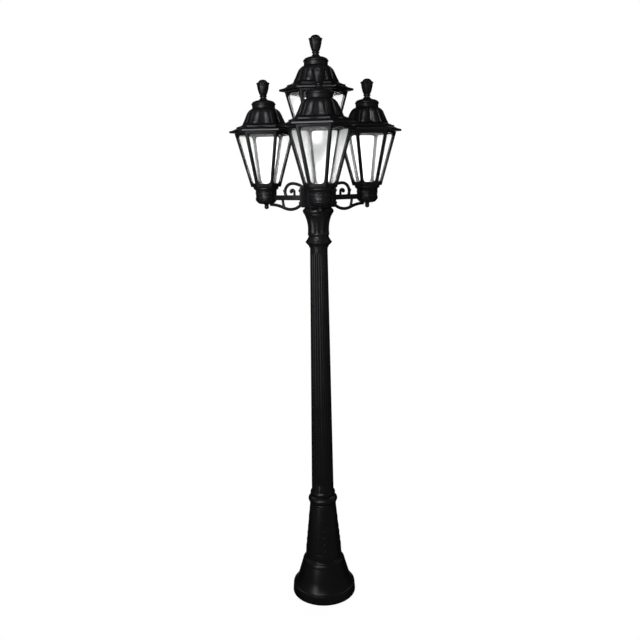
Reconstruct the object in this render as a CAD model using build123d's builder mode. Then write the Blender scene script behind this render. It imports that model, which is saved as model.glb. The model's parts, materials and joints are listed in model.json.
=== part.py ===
"""Garden lamp post with four hexagonal lanterns.

A fluted column stands on a bell-shaped plinth. Three lanterns sit on scroll arms, and a
fourth is raised on a stem between them. Millimetres, +Z up. The origin is on the ground, on
the column's axis, and the front arm points along -Y.
"""

import os
from math import cos, radians, sin

from build123d import *

os.makedirs("parts", exist_ok=True)

# Heights that stack up the post
plinth_height = 387.0
shaft_length = 1050.0
neck_ring_height = 43.0
capital_height = 108.0
hub_height = 76.0
arm_seat_rise = 46.0  # arm seats above the foot of the hub
top_seat_rise = 137.0  # top seat above the arm seats

# Plan of the arms, and how far each lantern is turned on its seat
arm_reach = 228.0
arm_headings = {"front": -90.0, "right": 30.0, "left": 150.0}
top_heading = -90.0
lantern_turns = {"front": -13.6, "right": 4.8, "left": -5.5, "top": -2.2}

# Clearances
fit = 0.05  # fixed pieces that slide over each other
running = 0.1  # spigots that turn in their seats
clear = 0.3  # pieces that move past each other
thread = 0.1  # threads that turn

# Anchor plate and core tube
plate_radius = 112.0
plate_thickness = 10.0
anchor_circle_radius = 80.0
anchor_hole_radius = 6.0
anchor_count = 4
anchor_start_angle = 45.0
cable_hole_margin = 0.5  # cable hole beyond the tube's bore
socket_wall = 8.0
socket_height = 40.0
core_radius = 24.0
core_wall = 3.0
core_in_hub = 50.0  # length of core tube inside the hub

# Plinth, from the ground up
plinth_radius = 130.0
plinth_wall = 6.0
plinth_lid = 8.0
plinth_plate_gap = 0.4
band_height = 36.0
band_radius = 127.0  # at the top of the ground band
flare_height = 48.0
flare_sag = 2.4  # how hollow the flare is between band and drum
drum_foot_radius = 102.0
drum_height = 50.0
drum_top_radius = 87.0
step_height = 27.0
step_bulge = 2.0
taper_foot_radius = 75.0
taper_top_radius = 53.0

# Collar between plinth and shaft
collar_foot_height = 9.0
collar_torus_height = 30.0
collar_torus_bulge = 7.5
collar_waist_radius = 49.0
collar_bead_height = 22.0
collar_bead_bulge = 3.5
collar_bead_radius = 47.0  # at the bead's two edges

# Shaft
shaft_foot_radius = 44.4
shaft_top_radius = 33.8
shaft_wall = 6.0
shaft_foot_length = 88.0  # plain length inside and above the collar
shaft_neck_length = 19.0  # plain length under the neck ring
flute_count = 28
flute_depth = 1.4

# Neck ring
neck_ring_radius = 50.5
neck_ring_edge_height = 6.0
neck_ring_edge_flare = 3.0

# Capital
capital_foot_radius = 38.0
capital_waist_radius = 41.0
capital_waist_height = 10.0
capital_neck_height = 83.0  # foot of the round collar
capital_neck_radius = 52.0
capital_bell_sag = 5.5
capital_collar_bulge = 7.0
capital_top_radius = 50.0
capital_flute_count = 10
capital_flute_radius = 11.0
capital_flute_depth = 2.2
capital_flute_length = 50.0
capital_flute_lean = 6.0
capital_flute_start = -82.0  # heading of the first flute

# Hub and its cap
hub_radius = 52.0
hub_pad_radius = 56.5  # from the axis to each flat pad
hub_pad_width = 56.0
hub_floor = 12.0
hub_bore_radius = 40.0
hub_cap_edge = 4.0
hub_cap_rise = 18.0
hub_cap_top_radius = 24.0
hub_cap_bulge = 5.0
hub_cap_spigot = 6.0
hub_cap_wall = 4.0
hub_cap_recess = 7.0  # hollow under the dome

# Stem under the top lantern
stem_radius = 16.0
stem_bore_radius = 11.0
stem_flange_radius = 22.0
stem_flange_height = 5.0
stem_spigot = 14.0  # length below the flange, inside the cap
stem_in_seat = 12.0

# Lantern seat: the end of each arm, and the top of the stem
seat_radius = 40.5
seat_bead_bulge = 1.6
seat_band_height = 21.0
seat_bowl_height = 13.0
seat_bowl_bulge = 5.0
seat_bottom_radius = 12.0
seat_bore_radius = 34.0
seat_bore_depth = 14.0

# Arm
arm_thickness = 14.0
scroll_thickness = 12.0
bar_drop = 1.0  # top of the bar below the seat's rim
bar_height = 19.0
bar_into_seat = 6.0
wire_hole_radius = 4.0
back_plate_thickness = 8.0
back_plate_margin = 2.0
strip_width = 10.5
strip_root = 3.0  # how far strips start inside the back plate
scroll_angle = 36.5  # slope of the scroll where it leaves the plate
scroll_rise_radius = 81.5
scroll_crest_radius = 32.5
scroll_fall_radius = 26.0
scroll_fall_angle = 62.0
curl_start = 45.5  # curl's foot beyond the pads
curl_rise = 13.0  # straight foot of the curl above the seat's rim
curl_radius = 7.0
curl_angle = 150.0
curl_eye_radius = 7.0
bud_radius = 4.0
brace_width = 12.0
brace_start_rise = 21.0  # brace's start above the plate's foot
brace_start_angle = -57.0
brace_radius = 70.0
brace_angle = 80.0
brace_landing = 18.0  # brace's end from the lantern's axis
brace_end_drop = 2.0  # brace's end below the seat's bottom
tie_start = 98.0  # tie between bar and brace, beyond the pads
tie_radius = 110.0
tie_angle = 20.0

# Screws of the back plates
screw_radius = 3.0
screw_length = 16.0
screw_tip_room = 1.0
screw_head_radius = 5.0
screw_head_height = 5.0
screw_key_radius = 2.9
screw_key_depth = 3.0
screw_spacing_across = 40.0
screw_spacing_up = 46.0
screw_centre_drop = 7.0  # centre of the pattern below the seat's rim

# Nipple, lock nut and drop knob
nipple_radius = 6.5
nipple_bore_radius = 4.0
nipple_in_holder = 4.5
nipple_in_knob = 13.0
nipple_tip_room = 1.0
nut_radius = 11.0
nut_height = 6.0
knob_radius = 9.5
knob_length = 21.0

# Lampholder
holder_radius = 20.0
holder_foot_radius = 12.0
holder_shoulder_height = 8.0
holder_height = 47.0
holder_lip_radius = 18.0
holder_lip_height = 6.0
holder_floor = 10.0
lamp_thread_radius = 13.4
holder_wire_radius = 3.0

# Lantern base
base_height = 31.0
base_radius = 40.5
base_waist_height = 13.0
base_waist_radius = 40.0
base_ring_height = 24.0
base_ring_radius = 48.5
base_ring_width = 3.0
base_top_radius = 50.0
base_flare_sag = 2.0
base_spigot_depth = 12.0
base_floor = 4.0
base_wall = 4.5

# Cage, diffuser and gasket
cage_height = 202.0
cage_foot_radius = 58.5  # to the corners
cage_top_radius = 115.5
cage_wall = 5.0
cage_flange_height = 4.0
cage_mouth_inset = 14.0  # corners of the hexagonal mouth inside the top corners
rib_half_width = 8.5
window_sill = 13.0
window_head = 6.0
window_top_round = 13.0
window_sill_round = 14.0
diffuser_gap = 0.5
diffuser_wall = 2.5
diffuser_headroom = 0.3
gasket_height = 2.0
gasket_inset = 4.0

# Roof
brim_overhang = 20.5  # corners of the brim beyond the cage
brim_under_inset = 4.0
brim_chamfer = 3.0
brim_edge = 3.0
brim_height = 20.0
bell_height = 69.0
bell_wall = 6.0
bell_foot_inset = 11.5  # corners of the bell's foot inside the cage's top
bell_shape = ((0.10, 13.0), (0.35, 24.4), (0.65, 34.0), (0.81, 40.0), (0.93, 47.5))  # height share, inset
bell_top_margin = 3.9  # bell's top beyond the cap
lobe_count = 24
bell_roundness = 0.8  # at the top, where the bell is nearly round
lobe_groove = 0.035  # depth of the grooves as a share of the radius
skirt_gap = 1.0  # between the skirt and the mouth of the cage
skirt_wall = 3.0
skirt_depth = 8.0
boss_radius = 9.0
boss_height = 21.0

# Roof cap
cap_height = 34.0
cap_radius = 43.7
cap_wall = 3.0
cap_side_height = 9.0
cap_lip_radius = 46.0
cap_lip_height = 14.0
cap_dome_height = 24.0
cap_dome_radius = 36.0
cap_top_radius = 12.7
cap_top_thickness = 7.0

# Finial
finial_height = 71.0
finial_foot_radius = 12.7
finial_neck_radius = 10.8
finial_neck_height = 7.0
finial_bead_height = 8.5
finial_bead_bulge = 2.0
tulip_height = 33.0
tulip_top_radius = 21.0
tulip_bulge = 3.2
lip_radius = 25.5
lip_height = 7.0
lip_thickness = 2.0
lip_curl = 1.5
lip_recess = 3.5
dome_radius = 18.0
petal_count = 6
petal_notch_radius = 5.0
stud_radius = 4.0
stud_length = 26.0
stud_tip_room = 3.0

# Levels that follow from the stack
shaft_foot = plinth_height
neck_ring_foot = shaft_foot + shaft_length
capital_foot = neck_ring_foot + neck_ring_height
hub_foot = capital_foot + capital_height
hub_top = hub_foot + hub_height
arm_seat_level = hub_foot + arm_seat_rise
top_seat_level = arm_seat_level + top_seat_rise
seat_height = seat_band_height + seat_bowl_height

# Levels inside a lantern, from the rim of its seat
cage_foot = base_height
cage_top = cage_foot + cage_height
roof_foot = cage_top + gasket_height
bell_foot = roof_foot + brim_height
cap_foot = bell_foot + bell_height
finial_foot = cap_foot + cap_height

hexagon_half_angle = 30.0
flat_share = cos(radians(hexagon_half_angle))  # a hexagon's flats against its corners
stand = (Align.CENTER, Align.CENTER, Align.MIN)
hang = (Align.CENTER, Align.CENTER, Align.MAX)


def polar(radius, angle):
    return (radius * cos(radians(angle)), radius * sin(radians(angle)))


def write(part, name):
    part.label = name
    export_step(part, f"parts/{name}.step")


def write_at(part, location, name):
    with BuildPart() as placed:
        with Locations(location):
            add(part)
    write(placed.part, name)


# Anchor plate: the core tube's socket, anchor holes and cable hole
core_bore_radius = core_radius - core_wall
with BuildPart() as anchor_plate:
    Cylinder(plate_radius, plate_thickness, align=stand)
    Cylinder(core_radius + fit + socket_wall, plate_thickness + socket_height, align=stand)
    with Locations((0, 0, plate_thickness)):
        Cylinder(core_radius + fit, socket_height, align=stand, mode=Mode.SUBTRACT)
    Cylinder(core_bore_radius + cable_hole_margin, plate_thickness, align=stand, mode=Mode.SUBTRACT)
    with PolarLocations(anchor_circle_radius, anchor_count, start_angle=anchor_start_angle):
        Cylinder(anchor_hole_radius, plate_thickness, align=stand, mode=Mode.SUBTRACT)
write(anchor_plate.part, "anchor_plate")

# Core tube: from the plate up into the hub
core_length = hub_foot + core_in_hub - plate_thickness
with BuildPart() as core_tube:
    with Locations((0, 0, plate_thickness)):
        Cylinder(core_radius, core_length, align=stand)
        Cylinder(core_bore_radius, core_length, align=stand, mode=Mode.SUBTRACT)
write(core_tube.part, "core_tube")

# Plinth: ground band, flare, drum, step and long taper, hollow over the plate
drum_foot = band_height + flare_height
drum_top = drum_foot + drum_height
taper_foot = drum_top + step_height
lid_underside = plinth_height - plinth_lid
plate_recess_radius = plate_radius + plinth_plate_gap
with BuildPart() as base_plinth:
    with BuildSketch(Plane.XZ):
        with BuildLine():
            band = Line((plinth_radius, 0), (band_radius, band_height))
            flare = SagittaArc(band @ 1, (drum_foot_radius, drum_foot), flare_sag)
            drum = Line(flare @ 1, (drum_top_radius, drum_top))
            step = SagittaArc(drum @ 1, (taper_foot_radius, taper_foot), -step_bulge)
            taper = Line(step @ 1, (taper_top_radius, plinth_height))
            Polyline(
                taper @ 1,
                (core_radius + fit, plinth_height),
                (core_radius + fit, lid_underside),
                (taper_top_radius - plinth_wall, lid_underside),
                (taper_foot_radius - plinth_wall, taper_foot),
                (drum_top_radius - plinth_wall, drum_top),
                (drum_foot_radius - plinth_wall, drum_foot),
                (plate_recess_radius, band_height),
                (plate_recess_radius, 0),
                band @ 0,
            )
        make_face()
    revolve(axis=Axis.Z)
write(base_plinth.part, "base_plinth")

# Collar: a foot, a large torus and a small bead around the plain foot of the shaft
torus_foot = plinth_height + collar_foot_height
torus_top = torus_foot + collar_torus_height
collar_bore_radius = shaft_foot_radius + fit
with BuildPart() as base_collar:
    with BuildSketch(Plane.XZ):
        with BuildLine():
            foot = Line((taper_top_radius, plinth_height), (taper_top_radius, torus_foot))
            torus = SagittaArc(foot @ 1, (collar_waist_radius, torus_top), -collar_torus_bulge)
            bead_edge = Line(torus @ 1, (collar_bead_radius, torus_top))
            bead_top = (collar_bead_radius, torus_top + collar_bead_height)
            bead = SagittaArc(bead_edge @ 1, bead_top, -collar_bead_bulge)
            Polyline(
                bead @ 1,
                (collar_bore_radius, torus_top + collar_bead_height),
                (collar_bore_radius, plinth_height),
                foot @ 0,
            )
        make_face()
    revolve(axis=Axis.Z)
write(base_collar.part, "base_collar")


def fluted_section(radius, level):
    """Round section of the shaft whose outline is one hollow arc per flute."""
    pitch = 360 / flute_count
    with BuildSketch(Plane.XY.offset(level)) as section:
        with BuildLine():
            for flute in range(flute_count):
                start = flute * pitch
                ThreePointArc(
                    polar(radius, start),
                    polar(radius - flute_depth, start + pitch / 2),
                    polar(radius, start + pitch),
                )
        make_face()
    return section.sketch


# Shaft: plain foot, fluted taper and plain neck, with a tapered bore
flutes_foot = shaft_foot + shaft_foot_length
flutes_top = neck_ring_foot - shaft_neck_length
with BuildPart() as column_shaft:
    with Locations((0, 0, shaft_foot)):
        Cylinder(shaft_foot_radius, shaft_foot_length, align=stand)
    loft([fluted_section(shaft_foot_radius, flutes_foot), fluted_section(shaft_top_radius, flutes_top)])
    with Locations((0, 0, flutes_top)):
        Cylinder(shaft_top_radius, shaft_neck_length, align=stand)
    with Locations((0, 0, shaft_foot)):
        Cylinder(shaft_foot_radius - shaft_wall, shaft_foot_length, align=stand, mode=Mode.SUBTRACT)
    with Locations((0, 0, flutes_foot)):
        Cone(
            shaft_foot_radius - shaft_wall,
            shaft_top_radius - shaft_wall,
            flutes_top - flutes_foot,
            align=stand,
            mode=Mode.SUBTRACT,
        )
    with Locations((0, 0, flutes_top)):
        Cylinder(shaft_top_radius - shaft_wall, shaft_neck_length, align=stand, mode=Mode.SUBTRACT)
write(column_shaft.part, "column_shaft")

# Neck ring: two cones back to back
neck_ring_low = neck_ring_foot + neck_ring_edge_height
neck_ring_high = capital_foot - neck_ring_edge_height
neck_ring_middle = (neck_ring_foot + capital_foot) / 2
with BuildPart() as neck_ring:
    with BuildSketch(Plane.XZ):
        with BuildLine():
            Polyline(
                (core_radius + fit, neck_ring_foot),
                (shaft_top_radius, neck_ring_foot),
                (shaft_top_radius + neck_ring_edge_flare, neck_ring_low),
                (neck_ring_radius, neck_ring_middle),
                (capital_foot_radius + neck_ring_edge_flare, neck_ring_high),
                (capital_foot_radius, capital_foot),
                (core_radius + fit, capital_foot),
                close=True,
            )
        make_face()
    revolve(axis=Axis.Z)
write(neck_ring.part, "neck_ring")

# Capital: a fluted bell under a round collar
capital_waist = capital_foot + capital_waist_height
capital_neck = capital_foot + capital_neck_height
flute_middle = (capital_waist + capital_neck) / 2
flute_axis_radius = (capital_waist_radius + capital_neck_radius) / 2 - capital_bell_sag
flute_axis_radius += capital_flute_radius - capital_flute_depth
with BuildPart() as column_capital:
    with BuildSketch(Plane.XZ):
        with BuildLine():
            foot = Line((capital_foot_radius, capital_foot), (capital_waist_radius, capital_waist))
            bell = SagittaArc(foot @ 1, (capital_neck_radius, capital_neck), capital_bell_sag)
            collar = SagittaArc(bell @ 1, (capital_top_radius, hub_foot), -capital_collar_bulge)
            Polyline(collar @ 1, (core_radius + fit, hub_foot), (core_radius + fit, capital_foot), foot @ 0)
        make_face()
    revolve(axis=Axis.Z)
    with PolarLocations(flute_axis_radius, capital_flute_count, start_angle=capital_flute_start):
        with Locations(Location((0, 0, flute_middle), (0, capital_flute_lean, 0))):
            Cylinder(capital_flute_radius, capital_flute_length, mode=Mode.SUBTRACT)
            with Locations((0, 0, -capital_flute_length / 2)):
                Sphere(capital_flute_radius, mode=Mode.SUBTRACT)
write(column_capital.part, "column_capital")


def arm_face(heading, radius, level):
    """Upright plane square to an arm, this far from the column's axis and facing outwards."""
    outward = Vector(*polar(1, heading), 0)
    across = Vector(*polar(1, heading + 90), 0)
    return Plane(outward * radius + Vector(0, 0, level), x_dir=across, z_dir=outward)


# Hub: a round body with a flat pad for each arm, hollow for the wiring
wire_drop = bar_drop + bar_height / 2
screw_hole_depth = screw_length - back_plate_thickness + screw_tip_room
with BuildPart() as bracket_hub:
    with BuildSketch(Plane.XY.offset(hub_foot)):
        Circle(hub_radius)
        for heading in arm_headings.values():
            with Locations(Location((0, 0, 0), (0, 0, heading))):
                Rectangle(hub_pad_radius, hub_pad_width, align=(Align.MIN, Align.CENTER))
    extrude(amount=hub_height)
    with Locations((0, 0, hub_foot + hub_floor)):
        Cylinder(hub_bore_radius, hub_height - hub_floor, align=stand, mode=Mode.SUBTRACT)
    with Locations((0, 0, hub_foot)):
        Cylinder(core_radius + fit, hub_floor, align=stand, mode=Mode.SUBTRACT)
    for heading in arm_headings.values():
        with Locations(arm_face(heading, hub_pad_radius, arm_seat_level)):
            with Locations((0, -wire_drop, 0)):
                Cylinder(wire_hole_radius, hub_pad_radius / 2, align=hang, mode=Mode.SUBTRACT)
            with Locations((0, -screw_centre_drop, 0)):
                with GridLocations(screw_spacing_across, screw_spacing_up, 2, 2):
                    Cylinder(screw_radius + fit, screw_hole_depth, align=hang, mode=Mode.SUBTRACT)
write(bracket_hub.part, "bracket_hub")

# Hub cap: a hollow dome with a boss for the stem and a spigot in the hub's bore
cap_top = hub_top + hub_cap_rise
hub_cap_spigot_radius = hub_bore_radius - fit
with BuildPart() as hub_cap:
    with BuildSketch(Plane.XZ):
        with BuildLine():
            edge = Line((hub_radius, hub_top), (hub_radius, hub_top + hub_cap_edge))
            dome = SagittaArc(edge @ 1, (hub_cap_top_radius, cap_top), -hub_cap_bulge)
            Polyline(
                dome @ 1,
                (stem_radius + fit, cap_top),
                (stem_radius + fit, cap_top - stem_spigot),
                (stem_flange_radius, cap_top - stem_spigot),
                (stem_flange_radius, hub_top + hub_cap_recess),
                (hub_cap_spigot_radius - hub_cap_wall, hub_top + hub_cap_recess),
                (hub_cap_spigot_radius - hub_cap_wall, hub_top - hub_cap_spigot),
                (hub_cap_spigot_radius, hub_top - hub_cap_spigot),
                (hub_cap_spigot_radius, hub_top),
                edge @ 0,
            )
        make_face()
    revolve(axis=Axis.Z)
write(hub_cap.part, "hub_cap")

# Stem: a flanged tube from the hub cap up into the top seat
stem_top = top_seat_level - seat_height + stem_in_seat
with BuildPart() as centre_stem:
    with Locations((0, 0, cap_top - stem_spigot)):
        Cylinder(stem_radius, stem_top - cap_top + stem_spigot, align=stand)
    with Locations((0, 0, cap_top)):
        Cylinder(stem_flange_radius, stem_flange_height, align=stand)
    with Locations((0, 0, cap_top - stem_spigot)):
        Cylinder(
            stem_bore_radius,
            stem_top - cap_top + stem_spigot,
            align=stand,
            mode=Mode.SUBTRACT,
        )
write(centre_stem.part, "centre_stem")


def seat_section(centre, bottom_radius):
    """Half section of a lantern seat: two beads over a shallow bowl, its rim at the centre's height."""
    bead_height = seat_band_height / 2
    with BuildSketch(Plane(centre, x_dir=(1, 0, 0), z_dir=(0, -1, 0))) as section:
        with BuildLine():
            bowl_top = (seat_radius, -seat_band_height)
            bowl = SagittaArc((bottom_radius, -seat_height), bowl_top, -seat_bowl_bulge)
            low_bead = SagittaArc(bowl @ 1, (seat_radius, -bead_height), -seat_bead_bulge)
            high_bead = SagittaArc(low_bead @ 1, (seat_radius, 0), -seat_bead_bulge)
            Polyline(
                high_bead @ 1,
                (seat_bore_radius, 0),
                (seat_bore_radius, -seat_bore_depth),
                (nipple_radius + fit, -seat_bore_depth),
                (nipple_radius + fit, -seat_height),
                bowl @ 0,
            )
        make_face()
    return section.sketch


# Top seat: a lantern seat with a socket for the stem
with BuildPart() as top_seat:
    revolve(seat_section((0, 0, top_seat_level), stem_flange_radius), axis=Axis.Z)
    with Locations((0, 0, top_seat_level - seat_height)):
        Cylinder(stem_radius + fit, stem_in_seat, align=stand, mode=Mode.SUBTRACT)
write(top_seat.part, "top_seat")

# Arm, drawn along +X with its seat's rim at height 0: back plate, bar, scrollwork and seat
plate_foot = back_plate_margin - arm_seat_rise
plate_top = hub_height - arm_seat_rise - back_plate_margin
plate_face = hub_pad_radius + back_plate_thickness
strip_start = plate_face - strip_root
bar_end = arm_reach - seat_radius + bar_into_seat
bar_foot = -bar_drop - bar_height
with BuildPart() as arm:
    with Locations((hub_pad_radius, 0, plate_foot)):
        plate_align = (Align.MIN, Align.CENTER, Align.MIN)
        Box(back_plate_thickness, hub_pad_width, plate_top - plate_foot, align=plate_align)
    with Locations((plate_face, 0, bar_foot)):
        Box(bar_end - plate_face, arm_thickness, bar_height, align=plate_align)
    with BuildSketch(Plane.XZ):
        with BuildLine():
            scroll_heading = polar(1, scroll_angle)
            rise = JernArc((strip_start, plate_top), scroll_heading, scroll_rise_radius, -scroll_angle)
            crest = JernArc(rise @ 1, rise % 1, scroll_crest_radius, -90)
            JernArc(crest @ 1, crest % 1, scroll_fall_radius, -scroll_fall_angle)
        trace(line_width=strip_width)
        with Locations((crest @ 1) + Vector(strip_width / 2, bud_radius)):
            Circle(bud_radius)
        with BuildLine():
            stalk_x = hub_pad_radius + curl_start
            stalk = Line((stalk_x, bar_foot / 2), (stalk_x, curl_rise))
            curl = JernArc(stalk @ 1, stalk % 1, curl_radius, -curl_angle)
        trace(line_width=strip_width)
        with Locations(curl @ 1):
            Circle(curl_eye_radius)
        with BuildLine():
            brace_start = (strip_start, plate_foot + brace_start_rise)
            brace_end = (arm_reach - brace_landing, -seat_height - brace_end_drop)
            hollow = JernArc(brace_start, polar(1, brace_start_angle), brace_radius, brace_angle)
            TangentArc(hollow @ 1, brace_end, tangent=hollow % 1)
        trace(line_width=brace_width)
        with BuildLine():
            JernArc((hub_pad_radius + tie_start, bar_foot / 2), (0, -1), tie_radius, -tie_angle)
        trace(line_width=strip_width)
    extrude(amount=scroll_thickness / 2, both=True)
    revolve(seat_section((arm_reach, 0, 0), seat_bottom_radius), axis=Axis((arm_reach, 0, 0), (0, 0, 1)))
    with Locations((hub_pad_radius, 0, -wire_drop)):
        Cylinder(
            wire_hole_radius,
            arm_reach - seat_bore_radius + bar_into_seat - hub_pad_radius,
            rotation=(0, 90, 0),
            align=stand,
            mode=Mode.SUBTRACT,
        )
    with Locations(arm_face(0, plate_face, -screw_centre_drop)):
        with GridLocations(screw_spacing_across, screw_spacing_up, 2, 2):
            Cylinder(screw_radius + fit, back_plate_thickness, align=hang, mode=Mode.SUBTRACT)
for name, heading in arm_headings.items():
    write_at(arm.part, Location((0, 0, arm_seat_level), (0, 0, heading)), f"{name}_arm")

# Screws of the three back plates: socket heads on the plates, shanks in the hub
with BuildPart() as arm_screws:
    for heading in arm_headings.values():
        with Locations(arm_face(heading, plate_face, arm_seat_level - screw_centre_drop)):
            with GridLocations(screw_spacing_across, screw_spacing_up, 2, 2):
                Cylinder(screw_head_radius, screw_head_height, align=stand)
                Cylinder(screw_radius, screw_length, align=hang)
                with Locations((0, 0, screw_head_height)):
                    Cylinder(screw_key_radius, screw_key_depth, align=hang, mode=Mode.SUBTRACT)
write(arm_screws.part, "arm_screws")

# Levels of the pieces on a lantern's axis, from the rim of its seat
base_floor_top = base_floor - base_spigot_depth
nut_foot = base_floor_top + clear
holder_foot = nut_foot + nut_height
nipple_foot = -seat_height - nipple_in_knob
nipple_top = holder_foot + nipple_in_holder

# Nipple: the hollow threaded tube that each lantern turns on
with BuildPart() as nipple:
    with Locations((0, 0, nipple_foot)):
        Cylinder(nipple_radius, nipple_top - nipple_foot, align=stand)
        Cylinder(nipple_bore_radius, nipple_top - nipple_foot, align=stand, mode=Mode.SUBTRACT)

# Drop knob: a ball-ended nut under an arm's seat
with BuildPart() as drop_knob:
    with BuildSketch(Plane.XZ):
        with BuildLine():
            top = Line((nipple_radius + fit, -seat_height), (knob_radius, -seat_height))
            side = Line(top @ 1, (knob_radius, knob_radius - seat_height - knob_length))
            ball = JernArc(side @ 1, (0, -1), knob_radius, -90)
            hole_end = nipple_foot - nipple_tip_room
            Polyline(ball @ 1, (0, hole_end), (nipple_radius + fit, hole_end), top @ 0)
        make_face()
    revolve(axis=Axis.Z)

# Lock nut: keeps the lantern on its seat from inside
with BuildPart() as lock_nut:
    with BuildSketch(Plane.XY.offset(nut_foot)):
        RegularPolygon(nut_radius, 6)
        Circle(nipple_radius + fit, mode=Mode.SUBTRACT)
    extrude(amount=nut_height)

# Lampholder: screwed on the nipple, with the lamp's thread open upwards
holder_top = holder_foot + holder_height
holder_thread_top = nipple_top + nipple_tip_room
lamp_thread_foot = holder_thread_top + holder_floor
with BuildPart() as lampholder:
    with BuildSketch(Plane.XZ):
        with BuildLine():
            Polyline(
                (nipple_radius + fit, holder_foot),
                (holder_foot_radius, holder_foot),
                (holder_radius, holder_foot + holder_shoulder_height),
                (holder_radius, holder_top - holder_lip_height),
                (holder_lip_radius, holder_top),
                (lamp_thread_radius, holder_top),
                (lamp_thread_radius, lamp_thread_foot),
                (holder_wire_radius, lamp_thread_foot),
                (holder_wire_radius, holder_thread_top),
                (nipple_radius + fit, holder_thread_top),
                close=True,
            )
        make_face()
    revolve(axis=Axis.Z)

# Lantern base: a cup with a spigot that turns in the seat
spigot_radius = seat_bore_radius - running
cup_bore_radius = base_waist_radius - base_wall
spigot_bore_radius = spigot_radius - base_wall
with BuildPart() as lantern_base:
    with BuildSketch(Plane.XZ):
        with BuildLine():
            waist = Line((base_radius, 0), (base_waist_radius, base_waist_height))
            flare = SagittaArc(waist @ 1, (base_ring_radius, base_ring_height), base_flare_sag)
            Polyline(
                flare @ 1,
                (base_ring_radius, base_ring_height + base_ring_width),
                (base_top_radius, base_height),
                (cup_bore_radius, base_height),
                (cup_bore_radius, base_floor),
                (spigot_bore_radius, 0),
                (spigot_bore_radius, base_floor_top),
                (nipple_radius + clear, base_floor_top),
                (nipple_radius + clear, -base_spigot_depth),
                (spigot_radius, -base_spigot_depth),
                (spigot_radius, 0),
                waist @ 0,
            )
        make_face()
    revolve(axis=Axis.Z)


def hexagon(radius, level):
    """Level hexagon with a flat side towards +X."""
    with BuildSketch(Plane.XY.offset(level)) as section:
        RegularPolygon(radius, 6, rotation=hexagon_half_angle)
    return section.sketch


def cage_radius(level):
    """Radius to the cage's outer corners at a level of the lantern."""
    return cage_foot_radius + (cage_top_radius - cage_foot_radius) * (level - cage_foot) / cage_height


def cage_side(heading):
    """Plane of one side of the cage, from the middle of its lower edge, with Y up the side."""
    low = Vector(*polar(cage_foot_radius * flat_share, heading), cage_foot)
    high = Vector(*polar(cage_top_radius * flat_share, heading), cage_top)
    across = Vector(*polar(1, heading + 90), 0)
    return Plane(low, x_dir=across, z_dir=across.cross(high - low))


# Cage: a hexagonal shell, wider at the top, with a rounded window in each side
cage_mouth_radius = cage_top_radius - cage_mouth_inset
wall_at_corner = cage_wall / flat_share
side_length = Vector((cage_top_radius - cage_foot_radius) * flat_share, cage_height).length
window_top = side_length - window_head
side_spread = (cage_top_radius - cage_foot_radius) / 2 / side_length
sill_half_width = cage_foot_radius / 2 + side_spread * window_sill - rib_half_width
head_half_width = cage_foot_radius / 2 + side_spread * window_top - rib_half_width
with BuildPart() as cage:
    loft([hexagon(cage_foot_radius, cage_foot), hexagon(cage_top_radius, cage_top)])
    loft(
        [
            hexagon(cage_foot_radius - wall_at_corner, cage_foot),
            hexagon(cage_top_radius - wall_at_corner, cage_top),
        ],
        mode=Mode.SUBTRACT,
    )
    with BuildSketch(Plane.XY.offset(cage_top - cage_flange_height)):
        RegularPolygon(cage_top_radius - wall_at_corner, 6, rotation=hexagon_half_angle)
        RegularPolygon(cage_mouth_radius, 6, rotation=hexagon_half_angle, mode=Mode.SUBTRACT)
    extrude(amount=cage_flange_height)
    for side in range(6):
        with BuildSketch(cage_side(2 * hexagon_half_angle * side)) as window:
            Polygon(
                (-sill_half_width, window_sill),
                (sill_half_width, window_sill),
                (head_half_width, window_top),
                (-head_half_width, window_top),
                align=None,
            )
            fillet(window.vertices().group_by(Axis.Y)[-1], window_top_round)
            fillet(window.vertices().group_by(Axis.Y)[0], window_sill_round)
        extrude(amount=-1.5 * cage_wall, mode=Mode.SUBTRACT)

# Diffuser: a clear hexagonal lining just inside the cage
diffuser_top = cage_top - cage_flange_height - diffuser_headroom
diffuser_inset = (cage_wall + diffuser_gap) / flat_share
diffuser_bore_inset = diffuser_inset + diffuser_wall / flat_share
with BuildPart() as diffuser:
    loft(
        [
            hexagon(cage_radius(cage_foot) - diffuser_inset, cage_foot),
            hexagon(cage_radius(diffuser_top) - diffuser_inset, diffuser_top),
        ]
    )
    loft(
        [
            hexagon(cage_radius(cage_foot) - diffuser_bore_inset, cage_foot),
            hexagon(cage_radius(diffuser_top) - diffuser_bore_inset, diffuser_top),
        ],
        mode=Mode.SUBTRACT,
    )

# Gasket: a flat hexagonal ring between cage and roof
with BuildPart() as gasket:
    with BuildSketch(Plane.XY.offset(cage_top)):
        RegularPolygon(cage_top_radius - gasket_inset, 6, rotation=hexagon_half_angle)
        RegularPolygon(cage_mouth_radius, 6, rotation=hexagon_half_angle, mode=Mode.SUBTRACT)
    extrude(amount=gasket_height)


def lobed_hexagon(radius, roundness, level):
    """Level hexagon whose outline is petal lobes, blended towards a circle by its roundness."""
    pitch = 360 / lobe_count

    def reach(angle):
        from_flat = (angle + hexagon_half_angle) % (2 * hexagon_half_angle) - hexagon_half_angle
        return radius * ((1 - roundness) * flat_share / cos(radians(from_flat)) + roundness)

    def groove(angle):
        return polar(reach(angle) - lobe_groove * radius, angle)

    with BuildSketch(Plane.XY.offset(level)) as section:
        with BuildLine():
            for lobe in range(lobe_count):
                middle = lobe * pitch
                crown = polar(reach(middle), middle)
                ThreePointArc(groove(middle - pitch / 2), crown, groove(middle + pitch / 2))
        make_face()
    return section.sketch


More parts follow.
